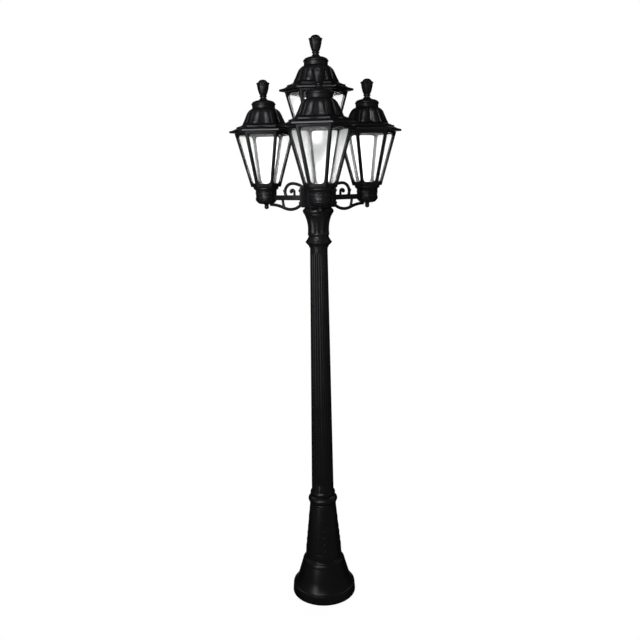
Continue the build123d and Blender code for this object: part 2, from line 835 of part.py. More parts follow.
# Roof: a flared brim, a bell of petal lobes, a skirt inside the gasket and a boss for the stud
brim_radius = cage_top_radius + brim_overhang
bell_foot_radius = cage_top_radius - bell_foot_inset
bell_top_radius = cap_radius + bell_top_margin
bell_levels = [bell_foot] + [bell_foot + share * bell_height for share, _ in bell_shape] + [cap_foot]
bell_radii = [bell_foot_radius] + [bell_foot_radius - inset for _, inset in bell_shape] + [bell_top_radius]
bell_sections = list(zip(bell_radii, bell_levels))
bell_wall_at_corner = bell_wall / flat_share
skirt_radius = cage_mouth_radius - skirt_gap / flat_share
skirt_bore_radius = skirt_radius - skirt_wall / flat_share
stud_hole_radius = stud_radius + thread
stud_hole_depth = stud_length - (cap_height - boss_height) + stud_tip_room
with BuildPart() as roof:
    loft(
        [
            hexagon(brim_radius - brim_under_inset, roof_foot),
            hexagon(brim_radius, roof_foot + brim_chamfer),
            hexagon(brim_radius, roof_foot + brim_chamfer + brim_edge),
            hexagon(bell_foot_radius, bell_foot),
        ],
        ruled=True,
    )
    loft(
        [
            lobed_hexagon(radius, bell_roundness * ((level - bell_foot) / bell_height) ** 2, level)
            for radius, level in bell_sections
        ]
    )
    loft(
        [
            hexagon(skirt_bore_radius, roof_foot),
            *(
                hexagon(radius * (1 - lobe_groove) - bell_wall_at_corner, level)
                for radius, level in bell_sections[1:-2]
            ),
            hexagon(bell_top_radius - bell_wall_at_corner, cap_foot - bell_wall),
        ],
        ruled=True,
        mode=Mode.SUBTRACT,
    )
    with BuildSketch(Plane.XY.offset(roof_foot)):
        RegularPolygon(skirt_radius, 6, rotation=hexagon_half_angle)
        RegularPolygon(skirt_bore_radius, 6, rotation=hexagon_half_angle, mode=Mode.SUBTRACT)
    extrude(amount=-skirt_depth)
    with Locations((0, 0, cap_foot)):
        Cylinder(boss_radius, boss_height, align=stand)
    with Locations((0, 0, cap_foot + boss_height)):
        Cylinder(stud_hole_radius, stud_hole_depth, align=hang, mode=Mode.SUBTRACT)

# Roof cap: a hollow round cap with a rolled lip
with BuildPart() as roof_cap:
    with BuildSketch(Plane.XZ):
        with BuildLine():
            side = Line((cap_radius, cap_foot), (cap_radius, cap_foot + cap_side_height))
            lip = Line(side @ 1, (cap_lip_radius, cap_foot + cap_lip_height))
            dome_middle = (cap_dome_radius, cap_foot + cap_dome_height)
            dome = ThreePointArc(lip @ 1, dome_middle, (cap_top_radius, finial_foot))
            Polyline(
                dome @ 1,
                (stud_hole_radius, finial_foot),
                (stud_hole_radius, finial_foot - cap_top_thickness),
                (cap_top_radius, finial_foot - cap_top_thickness),
                (cap_dome_radius - cap_wall, cap_foot + cap_dome_height - cap_wall),
                (cap_radius - cap_wall, cap_foot + cap_lip_height),
                (cap_radius - cap_wall, cap_foot),
                side @ 0,
            )
        make_face()
    revolve(axis=Axis.Z)

# Finial: a tulip with notched petal tips round a dome, on a threaded stud
bead_foot = finial_foot + finial_neck_height
tulip_foot = bead_foot + finial_bead_height
lip_foot = tulip_foot + tulip_height
lip_top = lip_foot + lip_height
finial_top = finial_foot + finial_height
with BuildPart() as finial:
    with BuildSketch(Plane.XZ):
        with BuildLine():
            neck = Line((finial_foot_radius, finial_foot), (finial_neck_radius, bead_foot))
            bead = SagittaArc(neck @ 1, (finial_neck_radius, tulip_foot), -finial_bead_bulge)
            tulip = SagittaArc(bead @ 1, (tulip_top_radius, lip_foot), -tulip_bulge)
            lip = SagittaArc(tulip @ 1, (lip_radius, lip_top), lip_curl)
            rim = Line(lip @ 1, (lip_radius - lip_thickness, lip_top))
            recess = Line(rim @ 1, (dome_radius, lip_top - lip_recess))
            dome = TangentArc((0, finial_top), recess @ 1, tangent=(1, 0))
            Polyline(dome @ 0, (0, finial_foot), neck @ 0)
        make_face()
    revolve(axis=Axis.Z)
    with Locations((0, 0, lip_foot)):
        with PolarLocations(lip_radius, petal_count):
            Cylinder(petal_notch_radius, lip_height, align=stand, mode=Mode.SUBTRACT)
    with Locations((0, 0, finial_foot)):
        Cylinder(stud_radius, stud_length, align=hang)

# The four lanterns, each turned a little on its seat
lantern_headings = {**arm_headings, "top": top_heading}
lantern_seats = {name: (*polar(arm_reach, heading), arm_seat_level) for name, heading in arm_headings.items()}
lantern_seats["top"] = (0, 0, top_seat_level)
fixed_pieces = {"nipple": nipple, "lock_nut": lock_nut, "lampholder": lampholder}
turned_pieces = {
    "lantern_base": lantern_base,
    "cage": cage,
    "diffuser": diffuser,
    "gasket": gasket,
    "roof": roof,
    "roof_cap": roof_cap,
    "finial": finial,
}
for name, seat in lantern_seats.items():
    for piece_name, piece in fixed_pieces.items():
        write_at(piece.part, Location(seat), f"{name}_{piece_name}")
    for piece_name, piece in turned_pieces.items():
        turn = (0, 0, lantern_headings[name] + lantern_turns[name])
        write_at(piece.part, Location(seat, turn), f"{name}_{piece_name}")
for name in arm_headings:
    write_at(drop_knob.part, Location(lantern_seats[name]), f"{name}_drop_knob")
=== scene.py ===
"""Looks of the garden lamp post: black cast metal, clear panes, plain studio light."""

import json
from math import cos, radians, sin

import bmesh
import bpy
from mathutils import Matrix, Vector

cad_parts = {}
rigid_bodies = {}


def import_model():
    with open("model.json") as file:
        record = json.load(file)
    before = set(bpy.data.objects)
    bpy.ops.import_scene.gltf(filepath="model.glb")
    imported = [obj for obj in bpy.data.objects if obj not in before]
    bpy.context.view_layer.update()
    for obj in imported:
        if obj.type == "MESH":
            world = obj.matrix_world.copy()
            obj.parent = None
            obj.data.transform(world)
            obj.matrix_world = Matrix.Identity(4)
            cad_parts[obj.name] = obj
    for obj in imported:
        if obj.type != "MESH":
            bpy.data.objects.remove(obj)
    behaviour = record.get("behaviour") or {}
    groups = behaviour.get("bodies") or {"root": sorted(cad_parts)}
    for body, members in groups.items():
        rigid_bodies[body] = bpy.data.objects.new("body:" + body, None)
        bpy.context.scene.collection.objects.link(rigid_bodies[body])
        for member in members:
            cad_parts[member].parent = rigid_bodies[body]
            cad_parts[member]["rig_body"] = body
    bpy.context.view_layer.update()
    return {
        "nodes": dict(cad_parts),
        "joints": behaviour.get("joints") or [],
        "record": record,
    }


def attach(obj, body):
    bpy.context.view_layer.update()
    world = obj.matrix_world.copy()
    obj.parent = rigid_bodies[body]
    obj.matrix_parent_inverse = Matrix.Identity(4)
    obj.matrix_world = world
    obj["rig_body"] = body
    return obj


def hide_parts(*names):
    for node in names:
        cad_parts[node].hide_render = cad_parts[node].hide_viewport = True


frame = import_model()
nodes = frame["nodes"]
MM = 0.001

# Where the four lanterns stand, and which way a flat side of each one faces, in degrees
lantern_seats = {
    joint["name"].split("_")[0]: Vector(joint["pos_m"])
    for joint in frame["joints"]
    if joint["name"].endswith("_lantern_turn")
}
lantern_headings = {"front": -103.6, "right": 34.8, "left": 144.5, "top": -92.2}

# Camera that was fitted to the photograph
camera_lens = 39.19
camera_sensor = 36.0
camera_distance = 2.6556
camera_height = 1.7055
camera_side_angle = radians(2.17)
camera_pitch = radians(11.72)
camera_roll = radians(-0.93)


def linear(hex_colour):
    """sRGB hex colour as linear RGBA."""
    channels = [int(hex_colour[i : i + 2], 16) / 255 for i in (1, 3, 5)]
    return (*(c / 12.92 if c <= 0.04045 else ((c + 0.055) / 1.055) ** 2.4 for c in channels), 1.0)


def add_node(tree, kind, settings=None, inputs=None):
    """Adds a node with its settings, and its inputs as values or as sockets to link."""
    node = tree.nodes.new(kind)
    for name, value in (settings or {}).items():
        setattr(node, name, value)
    for name, value in (inputs or {}).items():
        if isinstance(value, bpy.types.NodeSocket):
            tree.links.new(value, node.inputs[name])
        else:
            node.inputs[name].default_value = value
    return node


def add_math(tree, operation, *values):
    """Output of a new math node on values or sockets."""
    return add_node(tree, "ShaderNodeMath", {"operation": operation}, dict(enumerate(values))).outputs[0]


def new_material(name):
    """Empty node material and its tree."""
    material = bpy.data.materials.new(name)
    material.use_nodes = True
    material.node_tree.nodes.clear()
    return material, material.node_tree


def black_powder_coat():
    """Satin black polyester powder coat on sand-cast aluminium: soft highlights on faint orange peel."""
    peel_size = 2.5 * MM  # drawn coarser than the real grain so that it shows
    peel_depth = 0.1 * MM
    cloud_size = 60 * MM
    satin, dull = 0.27, 0.36
    metal_share = 0.3  # with a dark tint, it keeps the edges dark before the white background
    material, tree = new_material("black_powder_coat_on_cast_aluminium")
    place = add_node(tree, "ShaderNodeTexCoord").outputs["Object"]
    clouds = add_node(
        tree, "ShaderNodeTexNoise", inputs={"Vector": place, "Scale": 1 / cloud_size, "Detail": 4.0}
    )
    peel = add_node(
        tree, "ShaderNodeTexNoise", inputs={"Vector": place, "Scale": 1 / peel_size, "Detail": 1.0}
    )
    tone = add_node(tree, "ShaderNodeValToRGB", inputs={"Fac": clouds.outputs["Fac"]})
    tone.color_ramp.elements[0].color = linear("#121213")
    tone.color_ramp.elements[1].color = linear("#171718")
    gloss = add_node(
        tree,
        "ShaderNodeMapRange",
        inputs={
            "Value": clouds.outputs["Fac"],
            "From Min": 0.3,
            "From Max": 0.7,
            "To Min": satin,
            "To Max": dull,
        },
    )
    bump = add_node(
        tree,
        "ShaderNodeBump",
        inputs={"Height": peel.outputs["Fac"], "Strength": 0.12, "Distance": peel_depth},
    )
    shader = add_node(
        tree,
        "ShaderNodeBsdfPrincipled",
        inputs={
            "Base Color": tone.outputs["Color"],
            "Roughness": gloss.outputs["Result"],
            "Normal": bump.outputs["Normal"],
            "Metallic": metal_share,
            "Specular Tint": linear("#8c8c8c"),
            "Specular IOR Level": 0.0,
        },
    )
    add_node(tree, "ShaderNodeOutputMaterial", inputs={"Surface": shader.outputs["BSDF"]})
    return material


def plain_metal(name, colour, roughness, grain_size):
    """Bare plated or dipped steel with a fine mottled grain."""
    dark_grain = 0.8
    material, tree = new_material(name)
    place = add_node(tree, "ShaderNodeTexCoord").outputs["Object"]
    grain = add_node(tree, "ShaderNodeTexVoronoi", inputs={"Vector": place, "Scale": 1 / grain_size})
    tone = add_node(tree, "ShaderNodeValToRGB", inputs={"Fac": grain.outputs["Color"]})
    tone.color_ramp.elements[0].color = [dark_grain * c for c in linear(colour)[:3]] + [1.0]
    tone.color_ramp.elements[1].color = linear(colour)
    shader = add_node(
        tree,
        "ShaderNodeBsdfPrincipled",
        inputs={"Base Color": tone.outputs["Color"], "Metallic": 1.0, "Roughness": roughness},
    )
    add_node(tree, "ShaderNodeOutputMaterial", inputs={"Surface": shader.outputs["BSDF"]})
    return material


def clear_acrylic():
    """Moulded acrylic: clear from close by, with a white veil on far panes that face the viewer."""
    cloud_size = 90 * MM
    near_veil, far_veil = 0.1, 0.65
    frosted, matt = 0.4, 0.5
    veiled_slant, clear_slant = 0.2, 0.3
    past_both_faces = 1.5  # of the near pane
    material, tree = new_material("clear_acrylic")
    place = add_node(tree, "ShaderNodeTexCoord").outputs["Object"]
    clouds = add_node(tree, "ShaderNodeTexNoise", inputs={"Vector": place, "Scale": 1 / cloud_size})
    gloss = add_node(
        tree,
        "ShaderNodeMapRange",
        inputs={"Value": clouds.outputs["Fac"], "To Min": frosted, "To Max": matt},
    )
    rays = add_node(tree, "ShaderNodeLightPath").outputs
    past_a_pane = add_math(tree, "GREATER_THAN", rays["Transparent Depth"], past_both_faces)
    seen = add_math(tree, "MULTIPLY", past_a_pane, rays["Is Camera Ray"])
    slant = add_node(tree, "ShaderNodeLayerWeight", inputs={"Blend": 0.5})
    facing = add_node(
        tree,
        "ShaderNodeMapRange",
        inputs={
            "Value": slant.outputs["Facing"],
            "From Min": veiled_slant,
            "From Max": clear_slant,
            "To Min": 1.0,
            "To Max": 0.0,
        },
    )
    on_all_sides = add_node(tree, "ShaderNodeObjectInfo").outputs["Object Index"]
    veiled = add_math(tree, "MAXIMUM", facing.outputs["Result"], on_all_sides)
    veil = add_node(
        tree,
        "ShaderNodeMapRange",
        inputs={
            "Value": add_math(tree, "MULTIPLY", seen, veiled),
            "To Min": near_veil,
            "To Max": far_veil,
        },
    )
    shader = add_node(
        tree,
        "ShaderNodeBsdfPrincipled",
        inputs={
            "Base Color": linear("#f6f8f8"),
            "Roughness": gloss.outputs["Result"],
            "IOR": 1.49,
            "Transmission Weight": 1.0,
            "Alpha": veil.outputs["Result"],
        },
    )
    add_node(tree, "ShaderNodeOutputMaterial", inputs={"Surface": shader.outputs["BSDF"]})
    return material


def plain_solid(name, colour, roughness, mottle_size):
    """Glazed or moulded non-metal with a slight mottle."""
    dark_mottle = 0.9
    material, tree = new_material(name)
    place = add_node(tree, "ShaderNodeTexCoord").outputs["Object"]
    mottle = add_node(tree, "ShaderNodeTexNoise", inputs={"Vector": place, "Scale": 1 / mottle_size})
    tone = add_node(tree, "ShaderNodeValToRGB", inputs={"Fac": mottle.outputs["Fac"]})
    tone.color_ramp.elements[0].color = [dark_mottle * c for c in linear(colour)[:3]] + [1.0]
    tone.color_ramp.elements[1].color = linear(colour)
    shader = add_node(
        tree,
        "ShaderNodeBsdfPrincipled",
        inputs={"Base Color": tone.outputs["Color"], "Roughness": roughness},
    )
    add_node(tree, "ShaderNodeOutputMaterial", inputs={"Surface": shader.outputs["BSDF"]})
    return material


materials = {
    "black_cast_aluminium": black_powder_coat(),
    "galvanised_steel": plain_metal("hot_dip_galvanised_steel", "#8d9294", 0.55, 9 * MM),
    "zinc_plated_steel": plain_metal("bright_zinc_plated_steel", "#b9bcbf", 0.3, 2 * MM),
    "clear_acrylic": clear_acrylic(),
    "gasket_rubber": plain_solid("black_neoprene_rubber", "#141414", 0.8, 3 * MM),
    "porcelain": plain_solid("glazed_porcelain", "#ece8dc", 0.2, 20 * MM),
}
materials["black_screw_steel"] = materials["black_cast_aluminium"]

slots = {subpart["node"]: subpart["material_slot"] for subpart in frame["record"]["subparts"]}
for node, slot in slots.items():
    mesh = nodes[node].data
    mesh.materials.clear()
    mesh.materials.append(materials[slot])


def points(*pairs):
    """Radius and height pairs, or other pairs, as vectors."""
    return [Vector(pair) for pair in pairs]


def spline(line, steps):
    """Smooth line through points, with this many steps from each to the next."""
    ends = [line[0] * 2 - line[1], *line, line[-1] * 2 - line[-2]]
    smooth = []
    for a, b, c, d in zip(ends, ends[1:], ends[2:], ends[3:]):
        for step in range(steps):
            t = step / steps
            cubic = 3 * (b - c) + d - a
            smooth.append(b + 0.5 * t * ((c - a) + t * ((2 * a - 5 * b + 4 * c - d) + t * cubic)))
    return [*smooth, line[-1]]


def arc(centre, radius, start, end, steps=8):
    """Points on a round of an outline, from one angle to another in degrees."""
    angles = [radians(start + (end - start) * step / steps) for step in range(steps + 1)]
    return [Vector((centre[0] + radius * cos(a), centre[1] + radius * sin(a))) for a in angles]


def bulged(start, end, bulge, steps=8):
    """Points on a round between two points that swells to the right of the way from start to end."""
    first, last = Vector(start), Vector(end)
    along = last - first
    side = Vector((along[1], -along[0])).normalized() * bulge
    shares = [step / steps for step in range(steps + 1)]
    return [first + along * t + side * 4 * t * (1 - t) for t in shares]


def eased(outline, size, steps=3):
    """Closed outline with its sharp corners rounded off."""
    sharp_turn, most_of_a_side = radians(30), 0.4
    line = []
    for index, corner in enumerate(outline):
        back = outline[index - 1] - corner
        ahead = outline[(index + 1) % len(outline)] - corner
        if back.angle(-ahead) < sharp_turn:
            line.append(corner)
            continue
        start = corner + back.normalized() * min(size, most_of_a_side * back.length)
        end = corner + ahead.normalized() * min(size, most_of_a_side * ahead.length)
        for step in range(steps + 1):
            t = step / steps
            line.append((1 - t) ** 2 * start + 2 * t * (1 - t) * corner + t * t * end)
    return line


def run(start, heading, *bends, steps=14):
    """Points of a line that leaves its start at a heading and takes bends of radius and turn, in degrees."""
    spot, angle = Vector(start), radians(heading)
    line = [spot]
    for radius, turn in bends:
        reach = radius if turn > 0 else -radius
        centre = spot + Vector((-sin(angle), cos(angle))) * reach
        for step in range(1, steps + 1):
            here = angle + radians(turn) * step / steps
            line.append(centre + Vector((sin(here), -cos(here))) * reach)
        spot, angle = line[-1], angle + radians(turn)
    return line


def smoothstep(t):
    """Eased step from 0 to 1."""
    t = min(max(t, 0.0), 1.0)
    return t * t * (3 - 2 * t)


def flutes(count):
    """Wave of hollow flutes with sharp edges between them."""
    return lambda angle: abs(sin(count * angle / 2))


def gadroons(count):
    """Wave of round lobes with sharp grooves between them."""
    return lambda angle: 1 - abs(cos(count * angle / 2))


def skin(rings, place=Matrix(), closed_loop=False):
    """Mesh through rings of equally many points: a loop of rings, or a shape closed at both ends."""
    count = len(rings[0])
    vertices = [place @ point for ring in rings for point in ring]
    faces = []
    rows = list(range(len(rings)))
    for row, above in zip(rows, rows[1:] + ([0] if closed_loop else [])):
        for column in range(count):
            side = (column + 1) % count
            low, high = row * count, above * count
            faces.append((low + column, low + side, high + side, high + column))
    if not closed_loop:
        for first, order in ((0, -1), (rows[-1] * count, 1)):
            ring = vertices[first : first + count]
            vertices.append(sum(ring, Vector()) / count)
            centre = len(vertices) - 1
            for column in range(count):
                pair = (first + column, first + (column + 1) % count)
                faces.append((centre, *pair[::order]))
    mesh = bpy.data.meshes.new("skin")
    mesh.from_pydata(vertices, [], faces)
    return mesh


def turned(outline, place=Matrix(), steps=96, closed_loop=True, wave=None):
    """Mesh that an outline sweeps round the upright axis; a third value is how deep the wave cuts there."""
    angles = [radians(360 * step / steps) for step in range(steps)]
    rings = []
    for point in outline:
        depth = point[2] if len(point) > 2 else 0.0
        radii = [point[0] - (depth * wave(angle) if depth else 0.0) for angle in angles]
        rings.append([Vector((r * cos(a), r * sin(a), point[1])) for r, a in zip(radii, angles)])
    return skin(rings, place, closed_loop)


def carved(outline, depths):
    """Outline with a depth for the wave at each of its points."""
    return [Vector((point[0], point[1], depth)) for point, depth in zip(outline, depths)]


def ball(centre, radii, lean=0.0, steps=16):
    """Ellipsoid of three half lengths, leaned about X."""
    leaned = Matrix.Rotation(radians(lean), 4, "X")
    place = Matrix.Translation(centre) @ leaned @ Matrix.Diagonal((*radii, 1.0))
    return turned(arc((0, 0), 1.0, -80, 80), place, steps, closed_loop=False)


def joined(*meshes):
    """One mesh of several, which are used up."""
    work = bmesh.new()
    for mesh in meshes:
        work.from_mesh(mesh)
        bpy.data.meshes.remove(mesh)
    whole = bpy.data.meshes.new("joined")
    work.to_mesh(whole)
    work.free()
    return whole


def rounded_box(low, high, edge_round):
    """Box between two corners with rounded edges."""
    size = Vector(high) - Vector(low)
    middle = (Vector(high) + Vector(low)) / 2
    work = bmesh.new()
    bmesh.ops.create_cube(work, size=1.0, matrix=Matrix.Translation(middle) @ Matrix.Diagonal((*size, 1.0)))
    bmesh.ops.bevel(work, geom=work.edges[:], offset=edge_round, segments=3, profile=0.5, affect="EDGES")
    mesh = bpy.data.meshes.new("box")
    work.to_mesh(mesh)
    work.free()
    return mesh


def show(mesh, name, node, sharp_angle=35.0):
    """Finished piece in place of a CAD piece: smooth between its sharp edges, riding on its body."""
    mesh.name = name
    mesh.polygons.foreach_set("use_smooth", [True] * len(mesh.polygons))
    mesh.set_sharp_from_angle(angle=radians(sharp_angle))
    mesh.materials.clear()
    mesh.materials.append(materials[slots[node]])
    piece = bpy.data.objects.new(name, mesh)
    bpy.context.scene.collection.objects.link(piece)
    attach(piece, nodes[node]["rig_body"])
    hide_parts(node)


def softened(node, width):
    """Mesh of a CAD piece with its sharp edges rounded."""
    weld_gap, flat_angle, sharp_angle = 0.01 * MM, radians(1), radians(32)
    mesh = nodes[node].data.copy()
    mesh.transform(nodes[node].matrix_world)
    work = bmesh.new()
    work.from_mesh(mesh)
    bmesh.ops.remove_doubles(work, verts=work.verts[:], dist=weld_gap)
    bmesh.ops.dissolve_limit(work, angle_limit=flat_angle, verts=work.verts[:], edges=work.edges[:])
    sharp = [edge for edge in work.edges if edge.is_manifold and edge.calc_face_angle() > sharp_angle]
    bmesh.ops.bevel(
        work, geom=sharp, offset=width * MM, segments=2, profile=0.5, affect="EDGES", clamp_overlap=True
    )
    work.to_mesh(mesh)
    work.free()
    return mesh


def new_geometry_tree(name, sockets):
    """Empty geometry node tree with its inputs, and the sockets they arrive on."""
    tree = bpy.data.node_groups.new(name, "GeometryNodeTree")
    tree.interface.new_socket("Geometry", in_out="INPUT", socket_type="NodeSocketGeometry")
    for socket, kind in sockets.items():
        tree.interface.new_socket(socket, in_out="INPUT", socket_type=f"NodeSocket{kind}")
    tree.interface.new_socket("Geometry", in_out="OUTPUT", socket_type="NodeSocketGeometry")
    return tree, add_node(tree, "NodeGroupInput").outputs


def end_geometry_tree(tree, geometry, material):
    """Last nodes of a tree: plain geometry in one material."""
    solid = add_node(tree, "GeometryNodeRealizeInstances", inputs={"Geometry": geometry})
    painted = add_node(
        tree, "GeometryNodeSetMaterial", inputs={"Geometry": solid.outputs["Geometry"], "Material": material}
    )
    add_node(tree, "NodeGroupOutput", inputs={"Geometry": painted.outputs["Geometry"]})


def ring_tree():
    """Tree that sets copies of a shape round the upright axis."""
    tree, given = new_geometry_tree(
        "ring_of_copies", {"Shape": "Object", "Count": "Int", "Start Angle": "Float", "Material": "Material"}
    )
    index = add_node(tree, "GeometryNodeInputIndex").outputs["Index"]
    pitch = add_math(tree, "DIVIDE", radians(360), given["Count"])
    turn = add_math(tree, "MULTIPLY_ADD", index, pitch, given["Start Angle"])
    rotation = add_node(tree, "ShaderNodeCombineXYZ", inputs={"Z": turn})
    shape = add_node(tree, "GeometryNodeObjectInfo", inputs={"Object": given["Shape"]})
    spots = add_node(tree, "GeometryNodePoints", inputs={"Count": given["Count"]})
    copies = add_node(
        tree,
        "GeometryNodeInstanceOnPoints",
        inputs={
            "Points": spots.outputs["Points"],
            "Instance": shape.outputs["Geometry"],
            "Rotation": rotation.outputs["Vector"],
        },
    )
    end_geometry_tree(tree, copies.outputs["Instances"], given["Material"])
    return tree


def rod_tree():
    """Tree that runs an oval rod along a flat path."""
    rod_sides, half = 20, 0.5
    tree, given = new_geometry_tree(
        "rod_along_path", {"Path": "Object", "Profile": "Vector", "Material": "Material"}
    )
    path = add_node(tree, "GeometryNodeObjectInfo", inputs={"Object": given["Path"]})
    level = add_node(
        tree, "GeometryNodeSetCurveNormal", {"mode": "Z_UP"}, {"Curve": path.outputs["Geometry"]}
    )
    circle = add_node(
        tree, "GeometryNodeCurvePrimitiveCircle", inputs={"Resolution": rod_sides, "Radius": half}
    )
    oval = add_node(
        tree, "GeometryNodeTransform", inputs={"Geometry": circle.outputs["Curve"], "Scale": given["Profile"]}
    )
    rod = add_node(
        tree,
        "GeometryNodeCurveToMesh",
        inputs={
            "Curve": level.outputs["Curve"],
            "Profile Curve": oval.outputs["Geometry"],
            "Fill Caps": True,
        },
    )
    end_geometry_tree(tree, rod.outputs["Mesh"], given["Material"])
    return tree


trees = {"ring": ring_tree(), "rod": rod_tree()}


def grown(tree, used, values):
    """Plain mesh that a tree makes from its inputs; the object it uses up is removed."""
    host = bpy.data.objects.new("host", bpy.data.meshes.new("host"))
    for item in (used, host):
        bpy.context.scene.collection.objects.link(item)
    modifier = host.modifiers.new("tree", "NODES")
    modifier.node_group = tree
    for socket in tree.interface.items_tree:
        if socket.in_out == "INPUT" and socket.name in values:
            modifier[socket.identifier] = values[socket.name]
    depsgraph = bpy.context.evaluated_depsgraph_get()
    mesh = bpy.data.meshes.new_from_object(host.evaluated_get(depsgraph))
    for item in (host, used):
        bpy.data.objects.remove(item)
    return mesh


def ring_of(shape, count, start_angle=0.0):
    """Mesh of copies of a shape set in a ring."""
    values = {
        "Shape": bpy.data.objects.new("shape", shape),
        "Count": count,
        "Start Angle": radians(start_angle),
        "Material": materials["black_cast_aluminium"],
    }
    return grown(trees["ring"], values["Shape"], values)


def rod(line, width, thickness):
    """Oval rod along a line in the upright plane of an arm."""
    curve = bpy.data.curves.new("path", "CURVE")
    curve.dimensions = "3D"
    path = curve.splines.new("POLY")
    path.points.add(len(line) - 1)
    for spot, point in zip(path.points, line):
        spot.co = (point[0], point[1], 0.0, 1.0)
    values = {
        "Path": bpy.data.objects.new("path", curve),
        "Profile": (width, thickness, 1.0),
        "Material": materials["black_cast_aluminium"],
    }
    mesh = grown(trees["rod"], values["Path"], values)
    mesh.transform(Matrix.Rotation(radians(90), 4, "X"))
    return mesh


post_place = Matrix.Scale(MM, 4)


def lantern_place(name):
    """From a lantern's own millimetres, above its seat and with +X to a flat side, to the frame."""
    turn = Matrix.Rotation(radians(lantern_headings[name]), 4, "Z")
    return Matrix.Translation(lantern_seats[name]) @ turn @ Matrix.Scale(MM, 4)


def leaf_spray():
    """Stalk with pairs of leaves that shrink upwards, and a bud on top."""
    leaf_spread, leaf_lean = 10.0, 34.0
    thick, wide, long = 1.6, 4.4, 15.0
    spray = [ball((-0.2, 0, 92), (1.2, 1.8, 80))]
    for level, size in ((38, 1.0), (66, 0.9), (96, 0.8), (124, 0.65)):
        for side in (-1, 1):
            spot = (-0.6, leaf_spread * size * side, level)
            spray.append(ball(spot, (thick, wide * size, long * size), -leaf_lean * side))
    spray.append(ball((-0.2, 0, 170), (thick, wide, 12)))
    return joined(*spray)


def plinth():
    """Bell-shaped plinth with a rim, a hollow flare, fine ledges and a spray of leaves on each quarter."""
    spray_count, spray_turn, spray_lean = 4, -99, radians(-5.4)
    spray_foot = (74.2, 0, 161)
    outline = points((112.4, 0), (130.0, 0), (129.6, 8), (127.6, 33.6), (126.8, 36.4), (124.6, 37.8))
    outline += bulged((122.6, 38.8), (101.8, 84), -2.4)
    outline += points((88.0, 131.4))
    outline += bulged((87.2, 133.4), (77.4, 150.8), 2.6)
    outline += arc((75.0, 154.4), 1.8, -60, 80)
    outline += points((74.6, 158), (74.4, 162), (72.7, 184.4))
    outline += arc((71.8, 186.4), 1.4, -60, 60, 6)
    outline += points((72.4, 188.6), (53.0, 387), (24.05, 387), (24.05, 379), (47.0, 379))
    outline += points((69.0, 161), (81.0, 134), (96.0, 84), (112.4, 36))
    body = turned(eased(outline, 1.0), steps=128)
    leaves = leaf_spray()
    leaves.transform(Matrix.Translation(spray_foot) @ Matrix.Rotation(spray_lean, 4, "Y"))
    mesh = joined(body, ring_of(leaves, spray_count, spray_turn))
    mesh.transform(post_place)
    show(mesh, "plinth_casting", "base_plinth")


def collar():
    """Ring moulding over the plinth: a foot, a full round and a small bead."""
    outline = points((44.45, 387), (53.4, 387), (53.4, 393.6), (51.8, 395.4))
    outline += bulged((52.2, 396.6), (49.6, 425.2), 8.2, 12)
    outline += points((47.2, 426.6), (47.0, 428.4))
    outline += bulged((47.2, 429), (47.0, 446), 3.6)
    outline += points((45.6, 448), (44.45, 448))
    show(turned(eased(outline, 0.8), post_place, 128), "collar_casting", "base_collar")


def shaft():
    """Tapered shaft with flutes that end in small rounds, hollow inside."""
    bottom, foot, top, head = 387.0, 475.0, 1418.0, 1437.0
    foot_radius, top_radius, wall = 44.4, 33.8, 6.0
    flute_count, flute_depth, flute_end, flute_steps = 28, 1.4, 15.0, 10
    runs_in = [flute_end * share for share in (0.0, 0.05, 0.15, 0.3, 0.5, 0.75, 1.0)]
    levels = [foot + step for step in runs_in]
    levels += [foot + (top - foot) * step / 8 for step in range(1, 8)]
    levels += [top - step for step in reversed(runs_in)]
    line = points((foot_radius, bottom))
    depths = [0.0]
    for level in levels:
        taper = (foot_radius - top_radius) * (level - foot) / (top - foot)
        line.append(Vector((foot_radius - taper, level)))
        inside = min((level - foot) / flute_end, (top - level) / flute_end, 1.0)
        depths.append(flute_depth * (1 - (1 - inside) ** 2) ** 0.5)
    bore = points((top_radius, head), (top_radius - wall, head), (top_radius - wall, top))
    bore += points((foot_radius - wall, foot), (foot_radius - wall, bottom))
    depths += [0.0] * len(bore)
    fluted = carved(line + bore, depths)
    mesh = turned(fluted, post_place, flute_count * flute_steps, wave=flutes(flute_count))
    show(mesh, "fluted_shaft", "column_shaft", 40.0)


def neck_ring():
    """Double-cone ring with fine fillets."""
    outline = points((24.05, 1437), (35.4, 1437), (37.4, 1440), (37.4, 1443), (39.4, 1445.4))
    outline += points((49.6, 1456.4), (50.5, 1457.6), (50.5, 1459.6), (49.6, 1460.8), (45.0, 1466.0))
    outline += points((45.0, 1467.6), (42.0, 1471.0), (42.0, 1473.4), (39.2, 1476.0), (38.4, 1480))
    outline += points((24.05, 1480))
    show(turned(eased(outline, 0.6), post_place, 128), "neck_ring_casting", "neck_ring")


